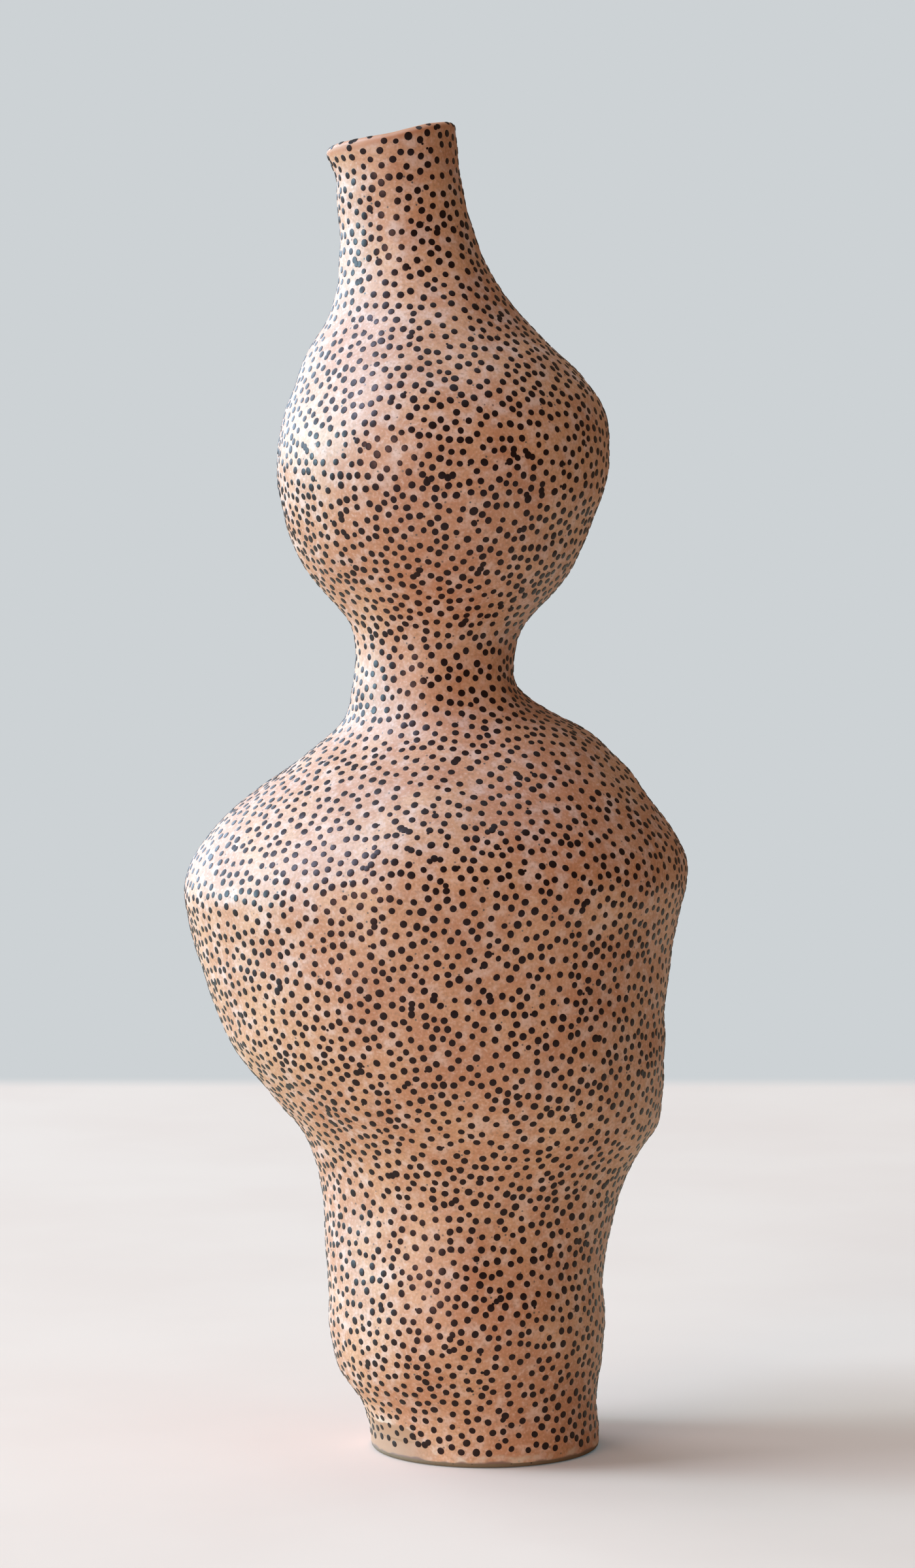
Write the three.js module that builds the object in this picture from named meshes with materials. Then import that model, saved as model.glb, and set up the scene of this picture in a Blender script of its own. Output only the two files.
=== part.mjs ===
import * as THREE from 'three';

// A tall hand-built vase in stoneware clay. A flat slab carries ten coil-built rings, each luted on top
// of the one below with a flat scored and slipped joint. Sizes are millimetres and +Z is up. The origin
// is the middle of the flat underside, on the table. The viewer stands at -Y, with +X to the right.

// Main sizes of the form, from side to side and from front to back
const FOOT_WIDTH = 72.5;
const FOOT_DEPTH = 72.5;
const TRUNK_WIDTH = 88;
const TRUNK_DEPTH = 93;
const BELLY_WIDTH = 157;
const BELLY_DEPTH = 143.5;
const WAIST_WIDTH = 50;
const WAIST_DEPTH = 50;
const BULB_WIDTH = 104;
const BULB_DEPTH = 100;
const MOUTH_WIDTH = 40;
const MOUTH_DEPTH = 40;

// Height of each piece of the stack
const FLOOR_THICKNESS = 7;
const FOOT_HEIGHT = 17;
const LOWER_TRUNK_HEIGHT = 29;
const UPPER_TRUNK_HEIGHT = 50;
const LOWER_BELLY_HEIGHT = 35;
const UPPER_BELLY_HEIGHT = 40;
const SHOULDER_HEIGHT = 50;
const WAIST_HEIGHT = 34;
const BULB_BOWL_HEIGHT = 56;
const BULB_DOME_HEIGHT = 38;
const NECK_HEIGHT = 58;

// Clay thickness, square to the surface
const WALL = 5.2;
const LIP_THICKNESS = 3.8;
const LIP_ROUNDING = 1.4;
const LIP_TAPER = 16;
const FLOOR_BEVEL = 1.5;

// The rim is cut out of level: its right side is higher than its left, its front higher than its back
const RIM_RISE_TO_RIGHT = 8.2;
const RIM_RISE_TO_FRONT = 2;
const RIM_TILT_DEPTH = 26;

// How far the marks of the hands stand out of the wall or into it
const SOFT_SWELL = 1.2;
const RIDGE_SWELL = 1.8;
const DISH_DEPTH = 2.4;

// Facets of the faceted skin
const COLUMNS = 48;
const RING_SPACING = 7;
const LIP_STEPS = 4;

const FULL_TURN = 2 * Math.PI;

// The outline of each piece from its lower joint (up 0) to its upper joint (up 1). A row is an oval, in
// shares of the piece's main width and depth, and its middle stands to the right of the origin and
// behind it by such shares too. A lump is a mark of the hands, centred at a bearing in degrees counted
// from the right by way of the back. It is tall by a share of the piece and wide in degrees.
const FLOOR = {
  width: FOOT_WIDTH,
  depth: FOOT_DEPTH,
  height: FLOOR_THICKNESS,
  rows: [
    { up: 0, wide: 1, deep: 1, right: 0, back: 0 },
    { up: 1, wide: 1.004, deep: 1.01, right: -0.008, back: 0.003 },
  ],
};

const FOOT = {
  name: 'foot_ring',
  width: FOOT_WIDTH,
  depth: FOOT_DEPTH,
  height: FOOT_HEIGHT,
  rows: [
    { up: 0.5, wide: 1.04, deep: 1.07, right: -0.027, back: 0.012 },
    { up: 1, wide: 1.137, deep: 1.18, right: -0.063, back: 0.02 },
  ],
  lumps: [],
};

const LOWER_TRUNK = {
  name: 'lower_trunk',
  width: TRUNK_WIDTH,
  depth: TRUNK_DEPTH,
  height: LOWER_TRUNK_HEIGHT,
  rows: [
    { up: 0.3, wide: 0.983, deep: 0.98, right: -0.061, back: 0.011 },
    { up: 0.62, wide: 1, deep: 1, right: -0.065, back: 0.003 },
    { up: 1, wide: 0.986, deep: 0.98, right: -0.075, back: -0.011 },
  ],
  lumps: [
    { up: 0.5, bearing: 248, swell: SOFT_SWELL, tall: 0.3, wide: 30 },
    { up: 0.8, bearing: 40, swell: -SOFT_SWELL, tall: 0.4, wide: 24 },
  ],
};

const UPPER_TRUNK = {
  name: 'upper_trunk',
  width: TRUNK_WIDTH,
  depth: TRUNK_DEPTH,
  height: UPPER_TRUNK_HEIGHT,
  rows: [
    { up: 0.25, wide: 1.012, deep: 0.955, right: -0.076, back: -0.009 },
    { up: 0.5, wide: 1.055, deep: 0.963, right: -0.055, back: 0 },
    { up: 0.76, wide: 1.132, deep: 1.035, right: -0.039, back: 0.007 },
    { up: 1, wide: 1.282, deep: 1.15, right: -0.023, back: 0 },
  ],
  lumps: [
    { up: 0.55, bearing: 300, swell: -SOFT_SWELL, tall: 0.3, wide: 22 },
    { up: 0.6, bearing: 112, swell: SOFT_SWELL, tall: 0.28, wide: 28 },
  ],
};

const LOWER_BELLY = {
  name: 'lower_belly',
  width: BELLY_WIDTH,
  depth: BELLY_DEPTH,
  height: LOWER_BELLY_HEIGHT,
  rows: [
    { up: 0.35, wide: 0.795, deep: 0.825, right: -0.041, back: -0.01 },
    { up: 0.72, wide: 0.866, deep: 0.89, right: -0.071, back: -0.011 },
    { up: 1, wide: 0.896, deep: 0.936, right: -0.087, back: -0.006 },
  ],
  lumps: [
    { up: 0.78, bearing: 208, swell: SOFT_SWELL, tall: 0.2, wide: 24 },
    { up: 0.5, bearing: 62, swell: -DISH_DEPTH, tall: 0.4, wide: 24 },
  ],
};

const UPPER_BELLY = {
  name: 'upper_belly',
  width: BELLY_WIDTH,
  depth: BELLY_DEPTH,
  height: UPPER_BELLY_HEIGHT,
  rows: [
    { up: 0.35, wide: 0.939, deep: 0.978, right: -0.102, back: 0.003 },
    { up: 0.7, wide: 0.971, deep: 0.998, right: -0.107, back: 0.01 },
    { up: 1, wide: 1, deep: 1, right: -0.102, back: 0.006 },
  ],
  lumps: [
    { up: 0.97, bearing: 214, swell: RIDGE_SWELL, tall: 0.15, wide: 28 },
    { up: 0.3, bearing: 288, swell: -SOFT_SWELL, tall: 0.4, wide: 22 },
    { up: 0.55, bearing: 128, swell: SOFT_SWELL, tall: 0.35, wide: 24 },
  ],
};

const SHOULDER = {
  name: 'shoulder',
  width: BELLY_WIDTH,
  depth: BELLY_DEPTH,
  height: SHOULDER_HEIGHT,
  rows: [
    { up: 0.14, wide: 0.997, deep: 0.983, right: -0.095, back: 0 },
    { up: 0.3, wide: 0.955, deep: 0.935, right: -0.089, back: -0.003 },
    { up: 0.52, wide: 0.843, deep: 0.827, right: -0.082, back: -0.005 },
    { up: 0.76, wide: 0.69, deep: 0.671, right: -0.06, back: 0.003 },
    { up: 1, wide: 0.504, deep: 0.506, right: -0.045, back: 0.012 },
  ],
  lumps: [
    { up: 0.5, bearing: 228, swell: -DISH_DEPTH, tall: 0.28, wide: 18 },
    { up: 0.5, bearing: 263, swell: RIDGE_SWELL, tall: 0.44, wide: 10 },
    { up: 0.48, bearing: 74, swell: -DISH_DEPTH, tall: 0.28, wide: 24 },
    { up: 0.35, bearing: 118, swell: RIDGE_SWELL, tall: 0.32, wide: 14 },
  ],
};

const WAIST = {
  name: 'waist_collar',
  width: WAIST_WIDTH,
  depth: WAIST_DEPTH,
  height: WAIST_HEIGHT,
  rows: [
    { up: 0.16, wide: 1.286, deep: 1.244, right: -0.22, back: 0.026 },
    { up: 0.27, wide: 1.11, deep: 1.128, right: -0.294, back: 0.016 },
    { up: 0.4, wide: 1.036, deep: 1.05, right: -0.323, back: 0.008 },
    { up: 0.58, wide: 1, deep: 1, right: -0.324, back: 0 },
    { up: 0.78, wide: 0.996, deep: 0.988, right: -0.318, back: 0.002 },
    { up: 1, wide: 1.108, deep: 1.092, right: -0.306, back: 0.006 },
  ],
  lumps: [
    { up: 0.3, bearing: 318, swell: SOFT_SWELL, tall: 0.4, wide: 14 },
  ],
};

const BULB_BOWL = {
  name: 'bulb_bowl',
  width: BULB_WIDTH,
  depth: BULB_DEPTH,
  height: BULB_BOWL_HEIGHT,
  rows: [
    { up: 0.14, wide: 0.673, deep: 0.66, right: -0.14, back: 0.004 },
    { up: 0.3, wide: 0.812, deep: 0.8, right: -0.142, back: 0.002 },
    { up: 0.52, wide: 0.91, deep: 0.918, right: -0.143, back: -0.005 },
    { up: 0.76, wide: 0.984, deep: 0.984, right: -0.134, back: -0.008 },
    { up: 1, wide: 1, deep: 1, right: -0.132, back: -0.003 },
  ],
  lumps: [
    { up: 0.55, bearing: 300, swell: -SOFT_SWELL, tall: 0.25, wide: 26 },
    { up: 0.5, bearing: 100, swell: SOFT_SWELL, tall: 0.22, wide: 26 },
  ],
};

const BULB_DOME = {
  name: 'bulb_dome',
  width: BULB_WIDTH,
  depth: BULB_DEPTH,
  height: BULB_DOME_HEIGHT,
  rows: [
    { up: 0.24, wide: 0.976, deep: 0.966, right: -0.125, back: 0.009 },
    { up: 0.5, wide: 0.889, deep: 0.884, right: -0.133, back: 0.022 },
    { up: 0.76, wide: 0.754, deep: 0.754, right: -0.161, back: 0.031 },
    { up: 1, wide: 0.602, deep: 0.62, right: -0.178, back: 0.03 },
  ],
  lumps: [
    { up: 0.4, bearing: 252, swell: SOFT_SWELL, tall: 0.36, wide: 18 },
    { up: 0.5, bearing: 60, swell: -SOFT_SWELL, tall: 0.32, wide: 24 },
  ],
};

const NECK = {
  name: 'neck',
  width: MOUTH_WIDTH,
  depth: MOUTH_DEPTH,
  height: NECK_HEIGHT,
  rows: [
    { up: 0.2, wide: 1.262, deep: 1.22, right: -0.539, back: 0.07 },
    { up: 0.42, wide: 1.073, deep: 1.05, right: -0.601, back: 0.07 },
    { up: 0.62, wide: 0.988, deep: 0.98, right: -0.661, back: 0.055 },
    { up: 0.84, wide: 0.99, deep: 0.975, right: -0.72, back: 0.037 },
    { up: 1, wide: 1.01, deep: 1, right: -0.75, back: 0.015 },
  ],
  lumps: [],
};

const RINGS = [
  FOOT,
  LOWER_TRUNK,
  UPPER_TRUNK,
  LOWER_BELLY,
  UPPER_BELLY,
  SHOULDER,
  WAIST,
  BULB_BOWL,
  BULB_DOME,
  NECK,
];

// Stand the pieces on each other, from the table up
let top = 0;
for (const piece of [FLOOR, ...RINGS]) {
  piece.bottom = top;
  top += piece.height;
}
const NECK_TOP = top;

// One smooth outline from the table to the rim runs through the rows of every piece
const heights = [];
const ovals = [];
for (const piece of [FLOOR, ...RINGS]) {
  for (const { up, wide, deep, right, back } of piece.rows) {
    heights.push(piece.bottom + up * piece.height);
    ovals.push(wide * piece.width / 2, deep * piece.depth / 2, right * piece.width, back * piece.depth);
  }
}
const outline = new THREE.CubicInterpolant(heights, ovals, 4);

// How far the lumps near this place push the skin out
function lumpRelief(z, angle) {
  let relief = 0;
  for (const ring of RINGS) {
    for (const lump of ring.lumps) {
      const rise = z - (ring.bottom + lump.up * ring.height);
      const turn = angle - THREE.MathUtils.degToRad(lump.bearing);
      const sideways = THREE.MathUtils.radToDeg(Math.atan2(Math.sin(turn), Math.cos(turn)));
      const climb = rise / (lump.tall * ring.height);
      relief += lump.swell * Math.exp(-(climb ** 2) - (sideways / lump.wide) ** 2);
    }
  }
  return relief;
}

// The outer skin at one height: the outline's oval with the lumps on it
function skinPoint(z, angle) {
  const [halfWidth, halfDepth, right, back] = outline.evaluate(z);
  const middle = new THREE.Vector2(right, back);
  const reach = new THREE.Vector2(halfWidth * Math.cos(angle), halfDepth * Math.sin(angle));
  reach.setLength(reach.length() + lumpRelief(z, angle));
  return { middle, reach };
}

// A sloping wall measures more across the level than square to its surface
const SLOPE_STEP = 0.5;
function slopeFactor(z, angle) {
  const above = skinPoint(z + SLOPE_STEP, angle);
  const below = skinPoint(z - SLOPE_STEP, angle);
  const shift = above.middle.add(above.reach).sub(below.middle).sub(below.reach);
  const outward = (shift.x * Math.cos(angle) + shift.y * Math.sin(angle)) / (2 * SLOPE_STEP);
  return Math.hypot(1, outward);
}

// A point in the clay: depth 0 is the outer skin and depth 1 the inner one
function clayPoint(z, angle, depth, thickness) {
  const { middle, reach } = skinPoint(z, angle);
  reach.setLength(reach.length() - depth * thickness * slopeFactor(z, angle));
  return new THREE.Vector3(middle.x + reach.x, middle.y + reach.y, z);
}

// A lathe turns the closed profile into a plain round skin, and each of its points then moves to its
// place on the hand-built form
function formedSkin(profile, place) {
  const turned = profile.map(({ z }) => new THREE.Vector2(1, z));
  const skin = new THREE.LatheGeometry(turned, COLUMNS);
  const position = skin.attributes.position;
  for (let index = 0; index < position.count; index++) {
    const column = Math.floor(index / profile.length) % COLUMNS;
    const angle = FULL_TURN * column / COLUMNS;
    const point = place(profile[index % profile.length], angle);
    position.setXYZ(index, point.x, point.y, point.z);
  }
  skin.computeVertexNormals();
  return skin;
}

function levelsBetween(bottom, height, spacing) {
  const count = Math.max(2, Math.round(height / spacing));
  return Array.from({ length: count + 1 }, (_, step) => bottom + height * step / count);
}

// The ring's profile goes up the outside and down the inside, which needs fewer levels
function ringProfile(ring) {
  const outer = levelsBetween(ring.bottom, ring.height, RING_SPACING);
  const inner = levelsBetween(ring.bottom, ring.height, 2 * RING_SPACING).reverse();
  const profile = outer.map((z) => ({ z, depth: 0 }));
  profile.push(...inner.map((z) => ({ z, depth: 1 })));
  profile.push(profile[0]);
  return profile;
}

function makeRing(ring) {
  const place = ({ z, depth }, angle) => clayPoint(z, angle, depth, WALL);
  return formedSkin(ringProfile(ring), place);
}

// The neck thins towards its lip and leans into the tilt of the rim. Its lip is rounded over.
function tiltedHeight(z, angle) {
  const nearRim = THREE.MathUtils.smootherstep(z, NECK_TOP - RIM_TILT_DEPTH, NECK_TOP);
  const rise = RIM_RISE_TO_RIGHT * Math.cos(angle) - RIM_RISE_TO_FRONT * Math.sin(angle);
  return z + nearRim * rise / 2;
}

function neckThickness(z) {
  const nearRim = THREE.MathUtils.smootherstep(z, NECK_TOP - LIP_TAPER, NECK_TOP);
  return THREE.MathUtils.lerp(WALL, LIP_THICKNESS, nearRim);
}

function makeNeck() {
  const lipBase = NECK_TOP - LIP_ROUNDING;
  const outer = levelsBetween(NECK.bottom, lipBase - NECK.bottom, RING_SPACING);
  const inner = levelsBetween(NECK.bottom, lipBase - NECK.bottom, 2 * RING_SPACING).reverse();
  const profile = outer.map((z) => ({ z, depth: 0 }));
  for (let step = 1; step < LIP_STEPS; step++) {
    const roll = Math.PI * step / LIP_STEPS;
    const depth = (1 - Math.cos(roll)) / 2;
    profile.push({ z: lipBase + LIP_ROUNDING * Math.sin(roll), depth });
  }
  profile.push(...inner.map((z) => ({ z, depth: 1 })));
  profile.push(profile[0]);
  const place = ({ z, depth }, angle) => {
    return clayPoint(tiltedHeight(z, angle), angle, depth, neckThickness(z));
  };
  return formedSkin(profile, place);
}

// The floor is a flat slab, bevelled round its lower edge, and reaches out to the skin of the vase
function makeFloor() {
  const profile = [
    { z: 0, edge: false, inset: 0 },
    { z: 0, edge: true, inset: FLOOR_BEVEL },
    { z: FLOOR_BEVEL, edge: true, inset: 0 },
    { z: FLOOR_THICKNESS, edge: true, inset: 0 },
    { z: FLOOR_THICKNESS, edge: false, inset: 0 },
  ];
  const place = ({ z, edge, inset }, angle) => {
    const { middle, reach } = skinPoint(z, angle);
    reach.setLength(edge ? reach.length() - inset : 0);
    return new THREE.Vector3(middle.x + reach.x, middle.y + reach.y, z);
  };
  return formedSkin(profile, place);
}

const glaze = new THREE.MeshStandardMaterial({ color: 0xcf9f84, roughness: 0.45, metalness: 0 });
const rawClay = new THREE.MeshStandardMaterial({ color: 0x8d7562, roughness: 0.9, metalness: 0 });

function addPiece(group, name, geometry, material) {
  const mesh = new THREE.Mesh(geometry, material);
  mesh.name = name;
  group.add(mesh);
}

const vase = new THREE.Group();
addPiece(vase, 'floor_slab', makeFloor(), rawClay);
for (const ring of RINGS) {
  const geometry = ring === NECK ? makeNeck() : makeRing(ring);
  addPiece(vase, ring.name, geometry, glaze);
}

export default vase;
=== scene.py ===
import itertools
import math

import bpy
import numpy as np
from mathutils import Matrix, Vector, noise
from mathutils.bvhtree import BVHTree


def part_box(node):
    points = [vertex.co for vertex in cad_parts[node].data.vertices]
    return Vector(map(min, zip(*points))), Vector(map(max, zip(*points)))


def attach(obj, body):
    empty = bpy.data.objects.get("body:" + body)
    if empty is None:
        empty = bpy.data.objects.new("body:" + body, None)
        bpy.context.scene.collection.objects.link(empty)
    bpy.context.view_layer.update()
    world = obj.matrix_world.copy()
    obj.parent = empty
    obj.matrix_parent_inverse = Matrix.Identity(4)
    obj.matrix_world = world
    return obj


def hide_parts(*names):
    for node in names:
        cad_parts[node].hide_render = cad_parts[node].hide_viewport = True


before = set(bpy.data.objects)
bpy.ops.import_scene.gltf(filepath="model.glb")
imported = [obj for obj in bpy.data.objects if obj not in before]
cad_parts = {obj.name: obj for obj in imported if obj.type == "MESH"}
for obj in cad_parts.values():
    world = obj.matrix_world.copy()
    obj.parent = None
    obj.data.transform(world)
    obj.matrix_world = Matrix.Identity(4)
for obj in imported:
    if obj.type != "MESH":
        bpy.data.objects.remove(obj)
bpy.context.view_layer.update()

# The clay wall. The real vase is coiled up in stoneware clay, ring on ring, and its outside is then
# pinched, paddled and scraped into one skin. So the skin is formed here as a whole, from the walls of
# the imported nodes, and each piece below takes its own stretch of it.
MM = 0.001
RINGS = [
    "foot_ring",
    "lower_trunk",
    "upper_trunk",
    "lower_belly",
    "upper_belly",
    "shoulder",
    "waist_collar",
    "bulb_bowl",
    "bulb_dome",
    "neck",
]
COLUMNS = 360
OUTER_STEP = 1 * MM
INNER_STEP = 3 * MM
SLAB_BEVEL = 1.5 * MM
LIP_ROUNDING = 1.5 * MM
RIM_LEAN = 26 * MM
EDGE_LEAN = RIM_LEAN / 3
RIM_WOBBLE = 0.3 * MM
RIM_WOBBLES_ROUND = 1.7
RIM_RISE = 0.85 * MM
RIM_RISE_BEARING = math.radians(222)
RIM_RISE_SPREAD = math.radians(34)
FLARE_OUT = 1.0 * MM
FLARE_OUT_DEPTH = 3.2 * MM
FLARE_IN = 1.2 * MM
FLARE_IN_DEPTH = 9 * MM
FLARE_IN_REACH = 5.5 * MM
FLARE_NARROWNESS = 1.5
SMOOTH_COLUMNS = 3
SMOOTH_RISE = 3 * MM
FAR_OUTSIDE = 200 * MM
FAR_ABOVE = 1
JOINT_REACH = 0.11 * MM
OFF_THE_JOINT = 0.02 * MM

bearings = np.arange(COLUMNS) * 2 * math.pi / COLUMNS
directions = np.stack([np.cos(bearings), np.sin(bearings)], axis=1)
joints = [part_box(name)[0].z for name in RINGS]
slab_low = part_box("floor_slab")[0]
neck_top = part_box("neck")[1].z


def clay_surface():
    corners = []
    faces = []
    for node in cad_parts.values():
        first = len(corners)
        corners += [corner.co.copy() for corner in node.data.vertices]
        faces += [[first + index for index in face.vertices] for face in node.data.polygons]
    return BVHTree.FromPolygons(corners, faces)


def corners_between(name, low, high):
    corners = [corner.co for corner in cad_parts[name].data.vertices]
    return np.array([corner for corner in corners if low <= corner.z <= high])


def middle_of(corners):
    return (corners.min(axis=0) + corners.max(axis=0))[:2] / 2


clay = clay_surface()
rim_corners = corners_between("neck", neck_top - RIM_LEAN / 2, math.inf)
middles = []
for name, joint in zip(RINGS, joints):
    middles.append(middle_of(corners_between(name, joint - JOINT_REACH, joint + JOINT_REACH)))
middles = np.array([middles[0], *middles, middle_of(rim_corners)])


def clay_walls(height, middle):
    """The middle of the wall's thickness at one height, seen from one middle, at each bearing."""
    places = []
    for direction in directions:
        outward = Vector((*direction, 0))
        inside = Vector((*middle, height))
        inner = clay.ray_cast(inside, outward)[0]
        outer = clay.ray_cast(inside + outward * FAR_OUTSIDE, -outward)[0]
        places.append(((inner + outer) / 2)[:2])
    return np.array(places)


def rim_heights():
    """How high the cut rim stands at each bearing."""
    wall = clay_walls(neck_top - RIM_LEAN / 2, middles[-1])
    heights = []
    for place in wall:
        hit = clay.ray_cast(Vector((*place, FAR_ABOVE)), Vector((0, 0, -1)))[0]
        heights.append(hit.z)
    return np.array(heights)


def smooth_round(rows, width):
    """Blurs rows of numbers round the vase, so that the last column meets the first."""
    reach = int(3 * width)
    weights = np.exp(-0.5 * (np.arange(-reach, reach + 1) / width) ** 2)
    weights /= weights.sum()
    soft = 0
    for shift, weight in zip(range(-reach, reach + 1), weights):
        soft = soft + weight * np.roll(rows, shift, axis=-1)
    return soft


def smooth_up(rows, heights, width):
    """Blurs columns of numbers up the vase, at heights that needn't be evenly spaced."""
    weights = np.exp(-0.5 * ((heights[:, None] - heights[None, :]) / width) ** 2)
    weights /= weights.sum(axis=1, keepdims=True)
    return weights @ rows


def without_facets(rows, heights):
    """Blurs the flat facets away, then gives back the form that the blur took with them."""
    soft = smooth_up(smooth_round(rows, SMOOTH_COLUMNS), heights, SMOOTH_RISE)
    lost = smooth_up(smooth_round(rows - soft, SMOOTH_COLUMNS), heights, SMOOTH_RISE)
    return soft + lost


def levels_of(bottom, top, step):
    """Even levels from bottom up to just below top, about a step apart."""
    count = max(2, round((top - bottom) / step))
    return list(np.linspace(bottom, top, count + 1)[:-1])


def smootherstep(share):
    share = np.clip(share, 0, 1)
    return share ** 3 * (share * (6 * share - 15) + 10)


rim = smooth_round(rim_heights(), SMOOTH_COLUMNS)
lip_base = rim.mean() - LIP_ROUNDING
joints.append(lip_base)


def lean(heights):
    """Levels near the rim lean with it, and waver a little as a hand-cut edge does."""
    turns = directions * RIM_WOBBLES_ROUND
    waver = [RIM_WOBBLE * noise.noise(Vector((*turn, 0))) for turn in turns]
    rise = RIM_RISE * np.exp(-((bearings - RIM_RISE_BEARING) / RIM_RISE_SPREAD) ** 2)
    above = heights[:, None] - lip_base
    tilt = smootherstep((above + RIM_LEAN) / RIM_LEAN) * (rim - rim.mean())
    edge = smootherstep((above + EDGE_LEAN) / EDGE_LEAN) * (waver + rise)
    return heights[:, None] + tilt, edge


def flare(heights):
    """On the left the rim turns outward, over a shallow hollow that a finger left below it."""
    below = lip_base - heights
    out = FLARE_OUT * np.exp(-((below / FLARE_OUT_DEPTH) ** 2))
    hollow = FLARE_IN * np.exp(-(((below - FLARE_IN_DEPTH) / FLARE_IN_REACH) ** 2))
    leftward = np.maximum(0, -directions[:, 0]) ** FLARE_NARROWNESS
    return (out - hollow)[:, None] * leftward


def middle_line(heights):
    """The vase's own middle at each height, which wanders from ring to ring."""
    stations = [slab_low.z, *joints]
    across = np.stack([np.interp(heights, stations, middles[:, axis]) for axis in (0, 1)], axis=1)
    return smooth_up(across, heights, SMOOTH_RISE)


def wall_skin(heights, outside):
    """Places on the clay's outer or inner skin, with a row for each level, a column for each bearing."""
    heights = np.array(heights)
    centre = middle_line(heights)
    raised, edge = lean(heights)
    reach = np.zeros_like(raised)
    for row, middle in enumerate(centre):
        for column, direction in enumerate(directions):
            outward = Vector((*direction, 0))
            inside = Vector((*middle, raised[row, column] + OFF_THE_JOINT))
            if outside:
                hit = clay.ray_cast(inside + outward * FAR_OUTSIDE, -outward)[0]
            else:
                hit = clay.ray_cast(inside, outward)[0]
            reach[row, column] = (hit - inside).length
    reach = without_facets(reach, heights) + flare(heights)
    across = centre[:, None, :] + reach[:, :, None] * directions[None, :, :]
    return np.concatenate([across, (raised + edge)[:, :, None]], axis=2)


def skin_normals(rows):
    """Directions square to a skin whose rows go up with the clay on their left hand."""
    along = np.roll(rows, -1, axis=1) - np.roll(rows, 1, axis=1)
    up = np.gradient(rows, axis=0)
    square = np.cross(along, up)
    return square / np.linalg.norm(square, axis=2, keepdims=True)


# The hand's marks in the clay: slow waves from pinching, shallow dents from the paddle, and the fine
# ripple of a wet thumb. Each is a wave length and a height.
SLOW_WAVE = 42 * MM
SLOW_HEIGHT = 0.9 * MM
DENT_WIDTH = 15 * MM
DENT_RISE = 10 * MM
DENT_HEIGHT = 0.55 * MM
RIPPLE_WIDTH = 4.5 * MM
RIPPLE_HEIGHT = 0.07 * MM
FOOT_STAYS_TRUE = 12 * MM


def hand_marks(place):
    x, y, z = place
    slow = noise.noise(Vector((x, y, z)) / SLOW_WAVE)
    dents = noise.noise(Vector((x / DENT_WIDTH, y / DENT_WIDTH, z / DENT_RISE)))
    ripple = noise.noise(Vector((x, y, z)) / RIPPLE_WIDTH)
    return SLOW_HEIGHT * slow + DENT_HEIGHT * dents + RIPPLE_HEIGHT * ripple


outer_levels = levels_of(SLAB_BEVEL, joints[0], OUTER_STEP)
inner_levels = []
outer_starts = []
inner_starts = []
for bottom, top in zip(joints, joints[1:]):
    outer_starts.append(len(outer_levels))
    inner_starts.append(len(inner_levels))
    outer_levels += levels_of(bottom, top, OUTER_STEP)
    inner_levels += levels_of(bottom, top, INNER_STEP)
outer_starts.append(len(outer_levels))
inner_starts.append(len(inner_levels))
outer_levels.append(lip_base)
inner_levels.append(lip_base)

outer_skin = wall_skin(outer_levels, True)
marks = np.apply_along_axis(hand_marks, 2, outer_skin)
marks *= smootherstep((outer_skin[:, :, 2] - SLAB_BEVEL) / FOOT_STAYS_TRUE)
outer_skin += skin_normals(outer_skin) * marks[:, :, None]
outer_normals = skin_normals(outer_skin)
inner_skin = wall_skin(inner_levels, False)
inner_normals = -skin_normals(inner_skin)


# The floor slab. It is a disc rolled out of stoneware and cut round, with the foot luted on it. The
# glaze stops above its lower edge, which is bevelled and bare like the underside.
def tint(red, green, blue):
    """A colour as a screen shows it, 0 to 255, turned into the light that it sends back."""
    linear = []
    for part in (red, green, blue):
        share = part / 255
        linear.append(share / 12.92 if share <= 0.04045 else ((share + 0.055) / 1.055) ** 2.4)
    return (*linear, 1)


# Blender's mix node has sockets of the same name for numbers and for colours, so the ones for colours
# are reached by their place in its list.
MIX_AMOUNT = 0
MIX_UNDER = 6
MIX_OVER = 7
MIX_RESULT = 2


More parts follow.
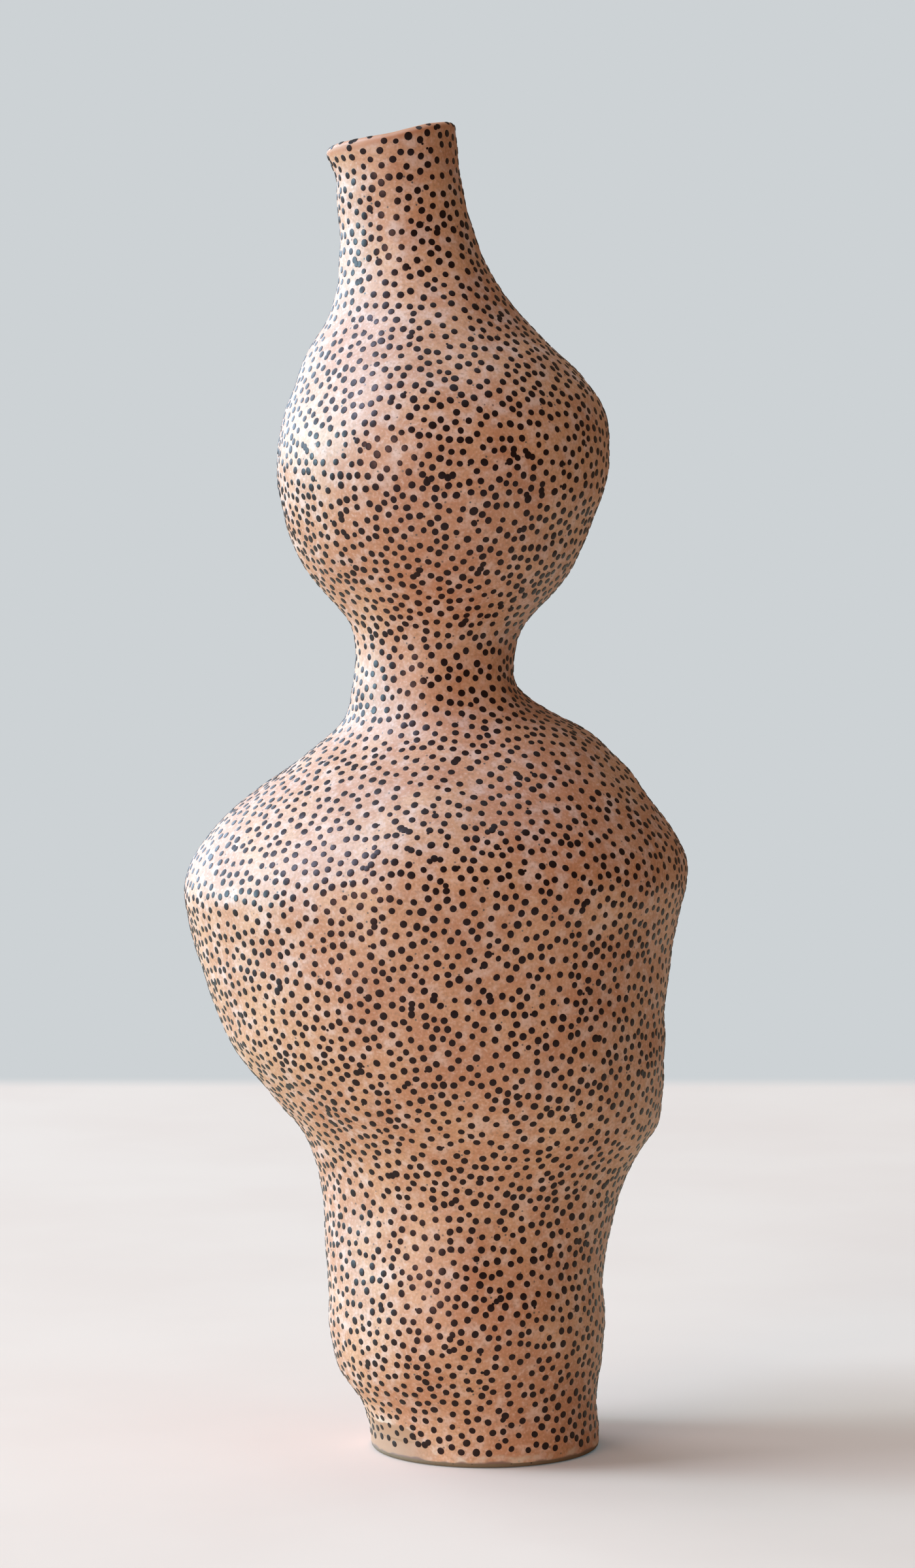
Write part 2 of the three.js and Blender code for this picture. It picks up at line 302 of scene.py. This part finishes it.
class Recipe:
    """A material that is mixed from Blender's nodes, all in the vase's own places in metres."""

    def __init__(self, name):
        self.material = bpy.data.materials.new(name)
        self.material.use_nodes = True
        self.nodes = self.material.node_tree.nodes
        self.links = self.material.node_tree.links
        self.shader = self.nodes["Principled BSDF"]
        self.place = self.nodes.new("ShaderNodeTexCoord").outputs["Object"]

    def feed(self, socket, value):
        if isinstance(value, bpy.types.NodeSocket):
            self.links.new(value, socket)
        else:
            socket.default_value = value

    def axes(self):
        node = self.nodes.new("ShaderNodeSeparateXYZ")
        self.links.new(self.place, node.inputs[0])
        return node.outputs

    def cloud(self, size, detail=2):
        """Soft random patches, about as wide as size."""
        node = self.nodes.new("ShaderNodeTexNoise")
        self.links.new(self.place, node.inputs["Vector"])
        node.inputs["Scale"].default_value = 1 / size
        node.inputs["Detail"].default_value = detail
        return node.outputs["Fac"]

    def grains(self, size):
        """Random points about size apart: how far the nearest one is, in sizes, and its own colour."""
        node = self.nodes.new("ShaderNodeTexVoronoi")
        self.links.new(self.place, node.inputs["Vector"])
        node.inputs["Scale"].default_value = 1 / size
        return node.outputs["Distance"], node.outputs["Color"]

    def span(self, value, start, end, at_start=0.0, at_end=1.0):
        """A soft change from one number to another, while the value goes from start to end."""
        node = self.nodes.new("ShaderNodeMapRange")
        node.interpolation_type = "SMOOTHSTEP"
        self.feed(node.inputs["Value"], value)
        node.inputs["From Min"].default_value = start
        node.inputs["From Max"].default_value = end
        node.inputs["To Min"].default_value = at_start
        node.inputs["To Max"].default_value = at_end
        return node.outputs["Result"]

    def reckon(self, first, operation, second):
        node = self.nodes.new("ShaderNodeMath")
        node.operation = operation
        self.feed(node.inputs[0], first)
        self.feed(node.inputs[1], second)
        return node.outputs[0]

    def laid_over(self, under, over, amount):
        """One colour over another, as thick as amount says."""
        node = self.nodes.new("ShaderNodeMix")
        node.data_type = "RGBA"
        self.feed(node.inputs[MIX_AMOUNT], amount)
        self.feed(node.inputs[MIX_UNDER], under)
        self.feed(node.inputs[MIX_OVER], over)
        return node.outputs[MIX_RESULT]

    def relief(self, height, depth):
        """Fine unevenness, as deep as depth, that the light shows."""
        node = self.nodes.new("ShaderNodeBump")
        node.inputs["Distance"].default_value = depth
        self.links.new(height, node.inputs["Height"])
        self.links.new(node.outputs[0], self.shader.inputs["Normal"])

    def finish(self, colour, roughness):
        self.feed(self.shader.inputs["Base Color"], colour)
        self.feed(self.shader.inputs["Roughness"], roughness)
        return self.material


CLAY_LIGHT = tint(142, 112, 90)
CLAY_DARK = tint(114, 88, 70)
CLAY_GRIT = tint(74, 58, 50)
CLAY_PATCH = 14 * MM
GRIT_SPACING = 2.6 * MM
DRY_PATCH = 3 * MM
GRIT_WIDTH = 0.7 * MM
GRIT_DEPTH = 0.12 * MM


def raw_clay():
    """Fired stoneware with no glaze: grey-brown, dry and gritty."""
    mix = Recipe("bare stoneware")
    colour = mix.laid_over(CLAY_LIGHT, CLAY_DARK, mix.cloud(CLAY_PATCH, 4))
    nearest, _ = mix.grains(GRIT_SPACING)
    colour = mix.laid_over(colour, CLAY_GRIT, mix.span(nearest, 0.16, 0.08))
    mix.relief(mix.cloud(GRIT_WIDTH, 3), GRIT_DEPTH)
    dryness = mix.span(mix.cloud(DRY_PATCH), 0.2, 0.8, at_start=0.82, at_end=0.94)
    return mix.finish(colour, dryness)


PEACH = tint(217, 145, 104)
TOASTED = tint(195, 111, 67)
MILKY = tint(235, 188, 176)
UMBER = tint(154, 92, 60)
RUST = tint(118, 62, 42)
IRON = tint(58, 36, 30)
OCHRE = tint(176, 114, 78)
WHITE_EDGE = tint(228, 192, 174)
BARE_BAND = tint(130, 86, 72)
BROAD_PATCH = 30 * MM
SMALL_PATCH = 9 * MM
VEIL_WIDTH = 5 * MM
GRAIN_WIDTH = 0.9 * MM
SPECK_SPACING = 3.4 * MM
SPECK_INSIDE = 0.075
SPECK_OUTSIDE = 0.125


def glaze_ground(mix):
    """Peach where the glaze lies well, toasted where it is thin, veiled with milk and finely grained."""
    broad = mix.cloud(BROAD_PATCH, 3)
    colour = mix.laid_over(PEACH, TOASTED, mix.span(broad, 0.36, 0.66, at_start=0.12, at_end=0.88))
    patches = mix.cloud(SMALL_PATCH, 5)
    colour = mix.laid_over(colour, TOASTED, mix.span(patches, 0.46, 0.66, at_end=0.55))
    veils = mix.cloud(VEIL_WIDTH, 6)
    colour = mix.laid_over(colour, MILKY, mix.span(veils, 0.44, 0.74, at_end=0.62))
    grain = mix.cloud(GRAIN_WIDTH, 3)
    colour = mix.laid_over(colour, UMBER, mix.span(grain, 0.48, 0.78, at_end=0.6))
    return mix.laid_over(colour, MILKY, mix.span(grain, 0.5, 0.22, at_end=0.5))


def with_specks(mix, colour):
    """Specks of rust and iron that the clay lets through."""
    nearest, shade = mix.grains(SPECK_SPACING)
    speck = mix.laid_over(RUST, IRON, mix.span(shade, 0.45, 0.55))
    return mix.laid_over(colour, speck, mix.span(nearest, SPECK_OUTSIDE, SPECK_INSIDE, at_end=0.9))


RIM_SLANT = 0.245
RIM_LEVEL = 420.9 * MM
RIM_BROWN_TOP = 0.8 * MM
RIM_BROWN_BOTTOM = 2.8 * MM


def with_thin_rim(mix, colour):
    """The rim slants up to the right, and over it the glaze runs thin and brown."""
    x, _, z = mix.axes()
    rim_level = mix.reckon(mix.reckon(x, "MULTIPLY", RIM_SLANT), "ADD", RIM_LEVEL)
    above_rim = mix.reckon(z, "SUBTRACT", rim_level)
    thin = mix.span(above_rim, -RIM_BROWN_BOTTOM, -RIM_BROWN_TOP, at_end=0.85)
    return mix.laid_over(colour, TOASTED, thin)


TONGUE_RIGHT = -11 * MM
TONGUE_LEFT = -27 * MM
TONGUE_BACK = 4 * MM
TONGUE_FRONT = -8 * MM
TONGUE_HEIGHT = 9.5 * MM
BAND_LOW = 1.2 * MM
BAND_HIGH = 2.2 * MM
BAND_WAVE = 9 * MM
THIN_FROM = 0.6 * MM
THIN_WHOLLY = -0.4 * MM
WHITE_FROM = -0.3 * MM
WHITE_WHOLLY = 0.4 * MM
WHITE_FADES = 1.2 * MM
WHITE_ENDS = 2.6 * MM
WHITE_WAVE = 7 * MM


def with_foot_edge(mix, colour, band_top):
    """At the left front the glaze runs thin over a tongue, and its edge is white here and there."""
    x, y, z = mix.axes()
    in_front = mix.span(y, TONGUE_BACK, TONGUE_FRONT)
    tongue = mix.reckon(mix.span(x, TONGUE_RIGHT, TONGUE_LEFT), "MULTIPLY", in_front)
    edge = mix.reckon(band_top, "ADD", mix.reckon(tongue, "MULTIPLY", TONGUE_HEIGHT))
    above_edge = mix.reckon(z, "SUBTRACT", edge)
    thin = mix.reckon(mix.span(above_edge, THIN_FROM, THIN_WHOLLY), "MULTIPLY", tongue)
    colour = mix.laid_over(colour, OCHRE, thin)
    over_edge = mix.span(above_edge, WHITE_FROM, WHITE_WHOLLY)
    under_top = mix.span(above_edge, WHITE_ENDS, WHITE_FADES)
    thick = mix.reckon(over_edge, "MULTIPLY", under_top)
    broken = mix.span(mix.cloud(WHITE_WAVE, 3), 0.42, 0.62, at_end=0.8)
    return mix.laid_over(colour, WHITE_EDGE, mix.reckon(thick, "MULTIPLY", broken))


SATIN_PATCH = 5 * MM
BARE_FROM = 0.5 * MM
BARE_WHOLLY = -0.3 * MM
BARE_ROUGHNESS = 0.85
ORANGE_PEEL_WIDTH = 1.3 * MM
ORANGE_PEEL_DEPTH = 0.05 * MM


def glaze():
    """A thin satin glaze over iron-bearing stoneware, wiped off in a wavering band above the ground."""
    mix = Recipe("peach glaze")
    band_top = mix.span(mix.cloud(BAND_WAVE), 0.3, 0.7, at_start=BAND_LOW, at_end=BAND_HIGH)
    above_band = mix.reckon(mix.axes()[2], "SUBTRACT", band_top)
    unglazed = mix.span(above_band, BARE_FROM, BARE_WHOLLY)
    colour = with_specks(mix, glaze_ground(mix))
    colour = with_thin_rim(mix, colour)
    colour = with_foot_edge(mix, colour, band_top)
    colour = mix.laid_over(colour, BARE_BAND, unglazed)
    mix.feed(mix.shader.inputs["Specular IOR Level"], 1.0)
    mix.feed(mix.shader.inputs["IOR"], 1.6)
    mix.relief(mix.cloud(ORANGE_PEEL_WIDTH, 2), ORANGE_PEEL_DEPTH)
    satin = mix.span(mix.cloud(SATIN_PATCH, 3), 0.3, 0.7, at_start=0.53, at_end=0.65)
    dry = mix.reckon(unglazed, "MULTIPLY", BARE_ROUGHNESS)
    return mix.finish(colour, mix.reckon(satin, "MAXIMUM", dry))


bare_stoneware = raw_clay()
peach_glaze = glaze()


def faces_between(count, bands):
    """Faces that join each row of places to the next, all the way round. The last may join the first."""
    faces = []
    for row in range(bands):
        below = row * COLUMNS
        above = (row + 1) % count * COLUMNS
        for column in range(COLUMNS):
            after = (column + 1) % COLUMNS
            faces.append((below + column, below + after, above + after, above + column))
    return faces


def closed_wall(name, rows, normals, materials, closes_on_itself=True):
    """A wall whose rows of places go up its outside and down its inside, or lie between two discs."""
    count = len(rows)
    mesh = bpy.data.meshes.new(name)
    faces = faces_between(count, count if closes_on_itself else count - 1)
    if not closes_on_itself:
        faces.append(tuple(reversed(range(COLUMNS))))
        faces.append(tuple(range((count - 1) * COLUMNS, count * COLUMNS)))
    mesh.from_pydata(rows.reshape(-1, 3).tolist(), [], faces)
    mesh.shade_smooth()
    mesh.normals_split_custom_set_from_vertices(normals.reshape(-1, 3).tolist())
    for material in materials:
        mesh.materials.append(material)
    piece = bpy.data.objects.new(name, mesh)
    bpy.context.collection.objects.link(piece)
    return piece


BEVEL_STEPS = 4
slab_rows = outer_skin[: outer_starts[0] + 1]


def slab_edge():
    """The bevel from the flat underside up to the slab's side."""
    outward = np.concatenate([directions, np.zeros((COLUMNS, 1))], axis=1)
    rows = []
    for step in range(BEVEL_STEPS):
        turn = math.pi / 2 * step / BEVEL_STEPS
        row = slab_rows[0] - outward * SLAB_BEVEL * (1 - math.sin(turn))
        row[:, 2] = slab_low.z + SLAB_BEVEL * (1 - math.cos(turn))
        rows.append(row)
    return np.array(rows)


slab_wall = np.concatenate([slab_edge(), slab_rows])
slab_normals = skin_normals(slab_wall)
slab_materials = [peach_glaze, bare_stoneware]
floor_slab = closed_wall("slab", slab_wall, slab_normals, slab_materials, closes_on_itself=False)
lower_edge = BEVEL_STEPS * COLUMNS
for face in floor_slab.data.polygons:
    is_disc = len(face.vertices) > 4
    if is_disc:
        face.use_smooth = False
    if is_disc or face.index < lower_edge:
        face.material_index = 1
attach(floor_slab, "root")
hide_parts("floor_slab")

# The ten rings. Each is a fat coil of stoneware pinched up into a wall about 5 mm thick, scored and
# slipped on top of the ring below, and glazed inside and out with the rest once it is dry.
LIP_ROWS = 7


def lip_rows():
    """The rim is thinned and rolled over with a wet finger, from the outer skin to the inner one."""
    rows = []
    for step in range(1, LIP_ROWS + 1):
        turn = math.pi * step / (LIP_ROWS + 1)
        across = (1 - math.cos(turn)) / 2
        row = outer_skin[-1] * (1 - across) + inner_skin[-1] * across
        row[:, 2] += LIP_ROUNDING * math.sin(turn)
        rows.append(row)
    return np.array(rows)


lip = lip_rows()
over_the_lip = skin_normals(np.concatenate([outer_skin[-2:], lip, inner_skin[:-3:-1]]))
outer_normals[-1] = over_the_lip[1]
lip_normals = over_the_lip[2:-2]
inner_normals[-1] = over_the_lip[-2]


def build_ring(index, name):
    """The wall of one ring. The neck's goes on over the lip, and the others end at flat joints."""
    outer = slice(outer_starts[index], outer_starts[index + 1] + 1)
    inner = slice(inner_starts[index], inner_starts[index + 1] + 1)
    rows = [outer_skin[outer], inner_skin[inner][::-1]]
    normals = [outer_normals[outer], inner_normals[inner][::-1]]
    if name == "neck":
        rows.insert(1, lip)
        normals.insert(1, lip_normals)
    ring = closed_wall(name + "_wall", np.concatenate(rows), np.concatenate(normals), [peach_glaze])
    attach(ring, "root")
    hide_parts(name)


for index, name in enumerate(RINGS):
    build_ring(index, name)

# The slip dots. Thousands of beads of dark slip are trailed by hand over the whole outside, from the
# foot to the rim, about a bead's width and a half apart. Each dries to a low button, often dimpled.
SEED = 11
DOT_RADIUS = 1.12 * MM
DOT_RADIUS_SPREAD = 0.09 * MM
SMALLEST_DOT = 0.8 * DOT_RADIUS
LARGEST_DOT = 1.4 * DOT_RADIUS
SPACING_HEIGHTS = [0, 190 * MM, 217 * MM, 240 * MM, 305 * MM, 350 * MM]
SPACINGS = [3.12 * MM, 3.08 * MM, 3.4 * MM, 2.94 * MM, 2.96 * MM, 3.12 * MM]
DOT_SPACING_SPREAD = 0.36 * MM
DOT_SPACING_LIMIT = 0.8 * MM
DOT_TRIES = 160000
LOWEST_DOT = 4.6 * MM
TWIN_SHARE = 0.022
TWIN_NEAREST = 1.3 * MM
TWIN_FARTHEST = 1.7 * MM
SPLASH_SHARE = 0.03
SPLASH_NEAREST = 1.1 * MM
SPLASH_FARTHEST = 1.5 * MM
SPLASH_SMALLEST = 0.36 * MM
SPLASH_LARGEST = 0.56 * MM
SEARCH_CELL = 4.2 * MM
NEAR_CELLS = list(itertools.product((-1, 0, 1), repeat=3))

random_numbers = np.random.default_rng(SEED)
dotted = np.concatenate([outer_skin, lip[: LIP_ROWS // 2]])
dotted_normals = skin_normals(dotted)


def random_places(count):
    """Places spread evenly by area over the dotted skin, with the skin's direction at each."""
    corner = dotted[:-1]
    along = np.roll(dotted, -1, axis=1)[:-1] - corner
    up = dotted[1:] - corner
    areas = np.linalg.norm(np.cross(along, up), axis=2).ravel()
    cells = random_numbers.choice(len(areas), size=count, p=areas / areas.sum())
    row, column = np.divmod(cells, COLUMNS)
    right = random_numbers.random((count, 1))
    rise = random_numbers.random((count, 1))
    following = (column + 1) % COLUMNS

    def between(grid):
        low = grid[row, column] * (1 - right) + grid[row, following] * right
        high = grid[row + 1, column] * (1 - right) + grid[row + 1, following] * right
        return low * (1 - rise) + high * rise

    normals = between(dotted_normals)
    return between(dotted), normals / np.linalg.norm(normals, axis=1, keepdims=True)


def has_room(place, spacing, cell, taken):
    for i, j, k in NEAR_CELLS:
        for other, room in taken.get((cell[0] + i, cell[1] + j, cell[2] + k), ()):
            if math.dist(place, other) < (spacing + room) / 2:
                return False
    return True


def scatter():
    """Throws dots on the skin and keeps each one that leaves room round the dots before it."""
    places, normals = random_places(DOT_TRIES)
    spacings = np.interp(places[:, 2], SPACING_HEIGHTS, SPACINGS)
    uneven = random_numbers.normal(0, DOT_SPACING_SPREAD, DOT_TRIES)
    spacings += np.clip(uneven, -DOT_SPACING_LIMIT, DOT_SPACING_LIMIT)
    cells = np.floor(places / SEARCH_CELL).astype(int)
    taken = {}
    kept = []
    tries = zip(places.tolist(), spacings.tolist(), cells.tolist())
    for index, (place, spacing, cell) in enumerate(tries):
        if place[2] < LOWEST_DOT:
            continue
        if has_room(place, spacing, cell, taken):
            taken.setdefault(tuple(cell), []).append((place, spacing))
            kept.append(index)
    return places[kept], normals[kept]


def tangents(normals):
    up = np.array([0.0, 0.0, 1.0])
    side = np.cross(up, normals)
    side /= np.linalg.norm(side, axis=1, keepdims=True)
    return side, np.cross(normals, side)


def neighbours_of(places, normals, share, nearest, farthest):
    """Places that touch some of the dots, where the slip ran on or splashed."""
    chosen = np.flatnonzero(random_numbers.random(len(places)) < share)
    side, up = tangents(normals[chosen])
    turn = random_numbers.random((len(chosen), 1)) * 2 * math.pi
    distance = random_numbers.uniform(nearest, farthest, (len(chosen), 1))
    moved = places[chosen] + distance * (side * np.cos(turn) + up * np.sin(turn))
    return moved, normals[chosen]


DOT_SIDES = 12
DOT_BANDS = 2
DOT_SUNK = 0.14 * MM
DOT_HEIGHT = 0.15 * MM
DOT_HEIGHT_SPREAD = 0.15
DEEPEST_DIMPLE = 0.62
MOST_OVAL = 0.08
SHOULDER_REACH = 0.96
TOP_REACH = 0.8
TOP_LEAN = 0.08

dotted_faces = faces_between(len(dotted), len(dotted) - 1)
dotted_surface = BVHTree.FromPolygons(dotted.reshape(-1, 3).tolist(), dotted_faces)


def dot_shape(radius):
    """The button's rings, from its sunk lower edge to its middle: reach, height and lean outward."""
    dimple = random_numbers.uniform(DEEPEST_DIMPLE, 1)
    spread = random_numbers.uniform(1 - DOT_HEIGHT_SPREAD, 1 + DOT_HEIGHT_SPREAD)
    lift = DOT_HEIGHT * spread * min(1, radius / DOT_RADIUS)
    sunk_edge = (1, -DOT_SUNK, 1)
    shoulder = (SHOULDER_REACH, lift / 2, 0.5)
    flat_top = (TOP_REACH, lift, TOP_LEAN)
    middle = (0, dimple * lift, 0)
    return [sunk_edge, shoulder, flat_top, middle]


def dot_corners(place, normal, radius):
    """Corners laid on the curved skin, and which way the button faces at each."""
    side = Vector(np.cross((0, 0, 1), normal)).normalized()
    upward = Vector(normal)
    rise = upward.cross(side)
    turn, egg = random_numbers.random(2) * 2 * math.pi
    stretch = random_numbers.uniform(0, MOST_OVAL)
    corners = []
    leans = []
    for share, height, lean_out in dot_shape(radius):
        for step in range(DOT_SIDES if share else 1):
            angle = turn + step * 2 * math.pi / DOT_SIDES
            reach = radius * share * (1 + stretch * math.cos(2 * (angle - egg)))
            outward = side * math.cos(angle) + rise * math.sin(angle)
            foot, square, _, _ = dotted_surface.find_nearest(Vector(place) + outward * reach)
            corners.append(foot + (square + upward).normalized() * height)
            leans.append((upward + outward * lean_out).normalized())
    return corners, leans


def dot_faces(first):
    """The button's faces: a flat base, two bands and a fan over the top."""
    faces = [tuple(first + step for step in reversed(range(DOT_SIDES)))]
    top = first + DOT_BANDS * DOT_SIDES
    middle = top + DOT_SIDES
    steps = [(step, (step + 1) % DOT_SIDES) for step in range(DOT_SIDES)]
    for low in range(first, top, DOT_SIDES):
        high = low + DOT_SIDES
        faces += [(low + step, low + after, high + after, high + step) for step, after in steps]
    faces += [(top + step, top + after, middle) for step, after in steps]
    return faces


SLIP_BLACK = tint(14, 6, 4)
SLIP_BROWN = tint(24, 11, 8)
SLIP_PATCH = 2.4 * MM
SLIP_SHINE = (1, 0.55, 0.55, 1)
SLIP_SHINE_PATCH = 1.5 * MM
SLIP_GRAIN_WIDTH = 0.4 * MM
SLIP_GRAIN_DEPTH = 0.015 * MM


def dark_slip():
    """Iron and manganese slip: nearly black, a little brown, with a soft shine from the glaze's ash."""
    mix = Recipe("dark slip")
    colour = mix.laid_over(SLIP_BLACK, SLIP_BROWN, mix.cloud(SLIP_PATCH, 3))
    mix.feed(mix.shader.inputs["Specular IOR Level"], 0.45)
    mix.feed(mix.shader.inputs["Specular Tint"], SLIP_SHINE)
    mix.relief(mix.cloud(SLIP_GRAIN_WIDTH, 2), SLIP_GRAIN_DEPTH)
    shine = mix.span(mix.cloud(SLIP_SHINE_PATCH), 0.3, 0.7, at_start=0.36, at_end=0.42)
    return mix.finish(colour, shine)


black_slip = dark_slip()


def build_dots(name, places, normals, radii):
    corners = []
    leans = []
    faces = []
    for place, normal, radius in zip(places, normals, radii):
        faces += dot_faces(len(corners))
        new_corners, new_leans = dot_corners(place, normal, radius)
        corners += new_corners
        leans += new_leans
    mesh = bpy.data.meshes.new(name)
    mesh.from_pydata(corners, [], faces)
    mesh.shade_smooth()
    mesh.normals_split_custom_set_from_vertices(leans)
    mesh.materials.append(black_slip)
    piece = bpy.data.objects.new(name, mesh)
    bpy.context.collection.objects.link(piece)
    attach(piece, "root")


dots, dot_normals = scatter()
twin_room = (TWIN_NEAREST, TWIN_FARTHEST)
splash_room = (SPLASH_NEAREST, SPLASH_FARTHEST)
twins, twin_normals = neighbours_of(dots, dot_normals, TWIN_SHARE, *twin_room)
splashes, splash_normals = neighbours_of(dots, dot_normals, SPLASH_SHARE, *splash_room)
radii = random_numbers.normal(DOT_RADIUS, DOT_RADIUS_SPREAD, len(dots) + len(twins))
radii = np.clip(radii, SMALLEST_DOT, LARGEST_DOT)
splash_radii = random_numbers.uniform(SPLASH_SMALLEST, SPLASH_LARGEST, len(splashes))
radii = np.concatenate([radii, splash_radii])
dots = np.concatenate([dots, twins, splashes])
dot_normals = np.concatenate([dot_normals, twin_normals, splash_normals])
bottoms = np.array([slab_low.z, *joints[1:-1]])
ring_of_dot = np.searchsorted(bottoms, dots[:, 2], side="right") - 1
for index, name in enumerate(RINGS):
    mine = ring_of_dot == index
    build_dots(name + "_dots", dots[mine], dot_normals[mine], radii[mine])

# Where it stands. The vase stands on a plain pale table in a grey-blue room, with soft windows all
# along its left and one overhead, and is seen from a little above through a long lens.
FLOOR_LEFT = -1.3
FLOOR_RIGHT = 1.3
FLOOR_FRONT = -1.6
FLOOR_BACK = 0.832
SOFT_EDGE = 44 * MM
TABLE_PALE = tint(237, 194, 177)
TABLE_DARKER = tint(234, 190, 173)
TABLE_PATCH = 120 * MM
# The table's faint blue-green glow: painted cool fill light, not a colour of the table.
PAINTED_COOL_FILL = (0.02, 0.068, 0.085, 1)
ROOM_COLOUR = tint(205, 210, 213)
BLACK = (0, 0, 0, 1)


def table_paint():
    """A matt, faintly cloudy paint that glows with a faint painted cool light, standing in for the room's
    cool fill in the vase's shadow. Its far edge melts into the room, as it does out of focus.
    """
    mix = Recipe("pale table")
    cloudy = mix.span(mix.cloud(TABLE_PATCH, 3), 0.3, 0.7)
    paint = mix.laid_over(TABLE_PALE, TABLE_DARKER, cloudy)
    melted = mix.span(mix.axes()[1], FLOOR_BACK - SOFT_EDGE, FLOOR_BACK)
    # Painted light: the table glows faintly blue-green, lifting its shade and the vase's shadow on it as
    # cool room light would; at the far edge the glow turns to the room's colour.
    mix.feed(mix.shader.inputs["Emission Color"], mix.laid_over(PAINTED_COOL_FILL, ROOM_COLOUR, melted))
    mix.feed(mix.shader.inputs["Emission Strength"], 1)
    mix.feed(mix.shader.inputs["Specular IOR Level"], 0)
    return mix.finish(mix.laid_over(paint, BLACK, melted), 1)


def lay_sheet(name, paint, left, right, front, back, height=0):
    corners = [(left, front, height), (right, front, height), (right, back, height), (left, back, height)]
    mesh = bpy.data.meshes.new(name)
    mesh.from_pydata(corners, [], [(0, 1, 2, 3)])
    mesh.materials.append(paint)
    sheet = bpy.data.objects.new(name, mesh)
    bpy.context.collection.objects.link(sheet)
    return sheet


def build_floor():
    """The table as it is seen. It sends no light to the vase, which the two sheets under it do."""
    floor = lay_sheet("floor", table_paint(), FLOOR_LEFT, FLOOR_RIGHT, FLOOR_FRONT, FLOOR_BACK)
    floor.visible_diffuse = False
    floor.visible_glossy = False
    floor.visible_shadow = False


TABLE_DROP = 0.5 * MM
TABLE_EDGE = -0.46
NEAR_RIGHT = 0.6
NEAR_COLOUR = tint(219, 197, 170)
FRONT_HALF_WIDTH = 1.0
FRONT_END = -1.3
FRONT_COLOUR = tint(197, 197, 197)
SHEET_ROUGHNESS = 0.6
SHEET_SHINE = 0.2


def lay_hidden_sheet(name, colour, left, right, front, back):
    """A sheet just under the table's face that the camera doesn't see, and whose light the vase gets."""
    mix = Recipe(name + " paint")
    mix.feed(mix.shader.inputs["Specular IOR Level"], SHEET_SHINE)
    paint = mix.finish(colour, SHEET_ROUGHNESS)
    sheet = lay_sheet(name, paint, left, right, front, back, height=-TABLE_DROP)
    sheet.visible_camera = False


ROOM_GLOW = (0.196, 0.144, 0.096, 1)


def light_room():
    """The camera sees the pale room all round, but the vase gets its light from dimmer, warmer walls."""
    world = bpy.data.worlds.new("room")
    bpy.context.scene.world = world
    world.use_nodes = True
    nodes = world.node_tree.nodes
    path = nodes.new("ShaderNodeLightPath")
    seen = nodes.new("ShaderNodeMix")
    seen.data_type = "RGBA"
    seen.inputs[MIX_UNDER].default_value = ROOM_GLOW
    seen.inputs[MIX_OVER].default_value = ROOM_COLOUR
    world.node_tree.links.new(path.outputs["Is Camera Ray"], seen.inputs[MIX_AMOUNT])
    world.node_tree.links.new(seen.outputs[MIX_RESULT], nodes["Background"].inputs["Color"])


LIGHT_AIM = Vector((0, 0, 0.22))


def hang_light(name, place, wide, tall, power, colour):
    light = bpy.data.lights.new(name, "AREA")
    light.shape = "RECTANGLE"
    light.size = wide
    light.size_y = tall
    light.energy = power
    light.color = colour
    lamp = bpy.data.objects.new(name, light)
    lamp.location = place
    lamp.rotation_euler = (LIGHT_AIM - lamp.location).to_track_quat("-Z", "Y").to_euler()
    lamp.visible_camera = False
    bpy.context.collection.objects.link(lamp)


CAMERA_PLACE = (-0.00894, -1.7, 0.36)
CAMERA_PITCH = math.radians(5.006)
CAMERA_LENS = 124.4
CAMERA_SENSOR = 36


def set_camera():
    lens = bpy.data.cameras.new("camera")
    lens.lens = CAMERA_LENS
    lens.sensor_width = CAMERA_SENSOR
    camera = bpy.data.objects.new("camera", lens)
    camera.location = CAMERA_PLACE
    camera.rotation_euler = (math.pi / 2 - CAMERA_PITCH, 0, 0)
    bpy.context.collection.objects.link(camera)
    bpy.context.scene.camera = camera


build_floor()
lay_hidden_sheet("near_table", NEAR_COLOUR, FLOOR_LEFT, NEAR_RIGHT, TABLE_EDGE, FLOOR_BACK)
lay_hidden_sheet("front_table", FRONT_COLOUR, -FRONT_HALF_WIDTH, FRONT_HALF_WIDTH, FRONT_END, TABLE_EDGE)
light_room()
hang_light("front_window", (-3.2, -4.4, 1.1), wide=2.6, tall=2.2, power=115, colour=(1, 0.98, 0.86))
hang_light("side_window", (-6.28, 0.54, 1.34), wide=2.0, tall=2.2, power=420, colour=(0.35, 0.81, 1))
hang_light("rear_window", (-4.6, 4.9, 2.18), wide=4.8, tall=4.0, power=422, colour=(0.54, 0.78, 1))
hang_light("high_window", (-4.58, -0.48, 4.66), wide=3.2, tall=2.2, power=404, colour=(0.48, 0.75, 1))
hang_light("roof_window", (-0.4, 0, 3.78), wide=3.6, tall=3.6, power=67, colour=(0.52, 0.87, 1))
set_camera()
bpy.context.scene.view_settings.view_transform = "Standard"
